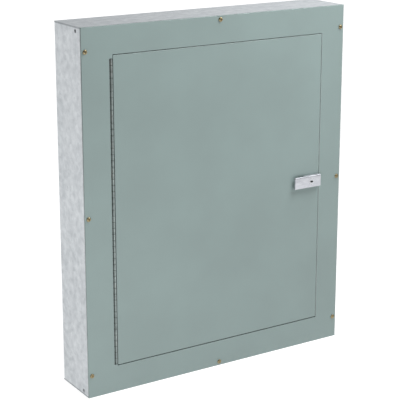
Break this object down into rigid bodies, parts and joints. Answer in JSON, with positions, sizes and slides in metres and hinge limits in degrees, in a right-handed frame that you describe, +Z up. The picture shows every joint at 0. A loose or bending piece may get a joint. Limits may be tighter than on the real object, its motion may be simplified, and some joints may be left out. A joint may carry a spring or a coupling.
{
  "type": "fire alarm control panel",
  "caption": "Wall-mounted fire alarm control panel: shallow galvanised cabinet, painted trim, flush hinged door with keyed pull, and alarm equipment inside.",
  "frame": {"origin": "centre of the cabinet's back face, which lies against the wall", "axes": "+Z up; +Y into the wall, so the door faces -Y; +X to the right of a person facing the panel"},
  "size_m": [0.635, 0.1231, 0.762],
  "materials": {
    "galvanised_steel": "hot-dip galvanised, spangled",
    "grey_green_paint": "satin powder coat",
    "yellow_zinc": "yellow chromate over zinc",
    "plated_steel": "bright zinc plate",
    "hinge_steel": "mill steel, zinc plated",
    "die_cast_zinc": "satin brushed die-casting",
    "lock_chrome": "satin chrome",
    "circuit_board": "solder mask",
    "black_plastic": "moulded",
    "chip_plastic": "moulded epoxy",
    "relay_plastic": "moulded",
    "capacitor_sleeve": "shrink sleeve",
    "aluminium": "extruded",
    "terminal_plastic": "moulded",
    "clear_glass": "clear",
    "clear_plastic": "clear acrylic",
    "core_steel": "varnished laminations",
    "winding_tape": "polyester tape",
    "black_rubber": "moulded",
    "red_paint": "satin powder coat",
    "display_plastic": "moulded",
    "lamp_plastic": "translucent",
    "button_plastic": "moulded",
    "battery_plastic": "moulded, fine texture",
    "terminal_brass": "stamped",
    "lead_insulation": "extruded"
  },
  "bodies": {
    "cabinet": {"box_shell": "galvanised_steel", "top_end_wall": "galvanised_steel", "bottom_end_wall": "galvanised_steel", "trim_frame": "grey_green_paint", "trim_screws": "yellow_zinc", "trim_clip_nuts": "plated_steel", "strike_bracket": "plated_steel", "door_stop_tabs": "plated_steel", "door_bumpers": "black_rubber", "trim_hinge_leaf": "hinge_steel", "hinge_pin": "hinge_steel", "equipment_plate": "galvanised_steel", "plate_studs": "plated_steel", "plate_nuts": "plated_steel", "earth_terminal": "terminal_brass", "main_circuit_board": "circuit_board", "control_circuit_board": "circuit_board", "board_standoffs": "plated_steel", "board_screws": "plated_steel", "board_chips": "chip_plastic", "board_relays": "relay_plastic", "board_capacitors": "capacitor_sleeve", "heat_sink": "aluminium", "zone_terminal_blocks": "terminal_plastic", "terminal_screws": "plated_steel", "fuse": "clear_glass", "fuse_clips": "terminal_brass", "transformer_core": "core_steel", "transformer_windings": "winding_tape", "transformer_feet": "plated_steel", "mains_terminal_base": "black_plastic", "mains_cover_pin": "plated_steel", "control_plate": "red_paint", "control_brackets": "plated_steel", "display_lens": "clear_plastic", "display_module": "display_plastic", "indicator_lamps": "lamp_plastic", "sounder": "black_plastic", "key_switches": "black_plastic", "battery_shelf": "galvanised_steel", "left_battery": "battery_plastic", "right_battery": "battery_plastic", "battery_terminals": "terminal_brass", "battery_strap": "plated_steel", "battery_jumper": "lead_insulation", "equipment_screws": "plated_steel"},
    "door": {"door_panel": "grey_green_paint", "door_hinge_leaf": "hinge_steel", "card_holder": "plated_steel", "lock_pull": "die_cast_zinc", "lock_barrel": "lock_chrome", "lock_nut": "plated_steel"},
    "lock": {"lock_plug": "lock_chrome", "lock_cam": "plated_steel", "cam_screw": "plated_steel"},
    "mains_cover": {"mains_terminal_cover": "clear_plastic"},
    "acknowledge_key": {"acknowledge_button": "button_plastic"},
    "silence_key": {"silence_button": "button_plastic"},
    "reset_key": {"reset_button": "button_plastic"},
    "drill_key": {"drill_button": "button_plastic"}
  },
  "joints": [
    {"name": "door_swing", "type": "hinge", "parent": "cabinet", "child": "door", "pos_m": [-0.2516, -0.1121, 0], "axis": [0, 0, -1], "range_deg": [0, 105]},
    {"name": "lock_turn", "type": "hinge", "parent": "door", "child": "lock", "pos_m": [0.2345, -0.11, 0], "axis": [0, -1, 0], "range_deg": [0, 90]},
    {"name": "mains_cover_swing", "type": "hinge", "parent": "cabinet", "child": "mains_cover", "pos_m": [0.14, -0.043, -0.0425], "axis": [-1, 0, 0], "range_deg": [0, 110]},
    {"name": "acknowledge_press", "type": "slide", "parent": "cabinet", "child": "acknowledge_key", "axis": [0, 1, 0], "range_m": [0, 0.0015], "stiffness_N_per_m": 900, "springref_m": -0.001},
    {"name": "silence_press", "type": "slide", "parent": "cabinet", "child": "silence_key", "axis": [0, 1, 0], "range_m": [0, 0.0015], "stiffness_N_per_m": 900, "springref_m": -0.001},
    {"name": "reset_press", "type": "slide", "parent": "cabinet", "child": "reset_key", "axis": [0, 1, 0], "range_m": [0, 0.0015], "stiffness_N_per_m": 900, "springref_m": -0.001},
    {"name": "drill_press", "type": "slide", "parent": "cabinet", "child": "drill_key", "axis": [0, 1, 0], "range_m": [0, 0.0015], "stiffness_N_per_m": 900, "springref_m": -0.001}
  ]
}
